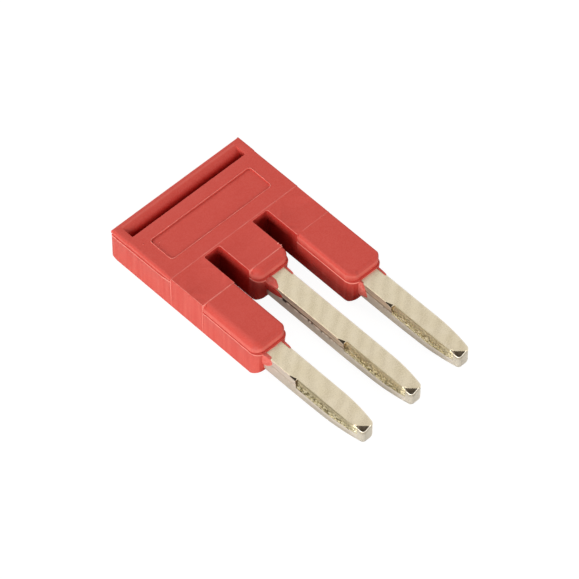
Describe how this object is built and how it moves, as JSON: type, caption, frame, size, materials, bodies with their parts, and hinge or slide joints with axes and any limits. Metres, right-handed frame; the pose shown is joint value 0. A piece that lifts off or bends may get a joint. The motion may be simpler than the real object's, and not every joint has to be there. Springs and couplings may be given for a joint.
{
  "type": "terminal block jumper bar",
  "caption": "Flat plug-in jumper bar: a red moulded housing with a pull slot and label recess over a stamped comb whose tapered contact prongs reach out of its legs.",
  "frame": {"origin": "middle of the overall bounding box in X and Y, on the underside that the part lies on", "axes": "+X across the legs to the right as seen from above with the prongs towards the viewer, -Y along the prongs towards their tips, +Z through the thickness towards the label recess"},
  "size_m": [0.0138, 0.0274, 0.0035],
  "materials": {
    "red_plastic": "moulded red polyamide, fine eggshell texture with brighter moulded edges",
    "plated_copper": "copper alloy with a pale warm plating, satin blade faces and striated sheared flanks"
  },
  "bodies": {
    "root": {"housing": "red_plastic", "contact_comb": "plated_copper"}
  },
  "joints": []
}
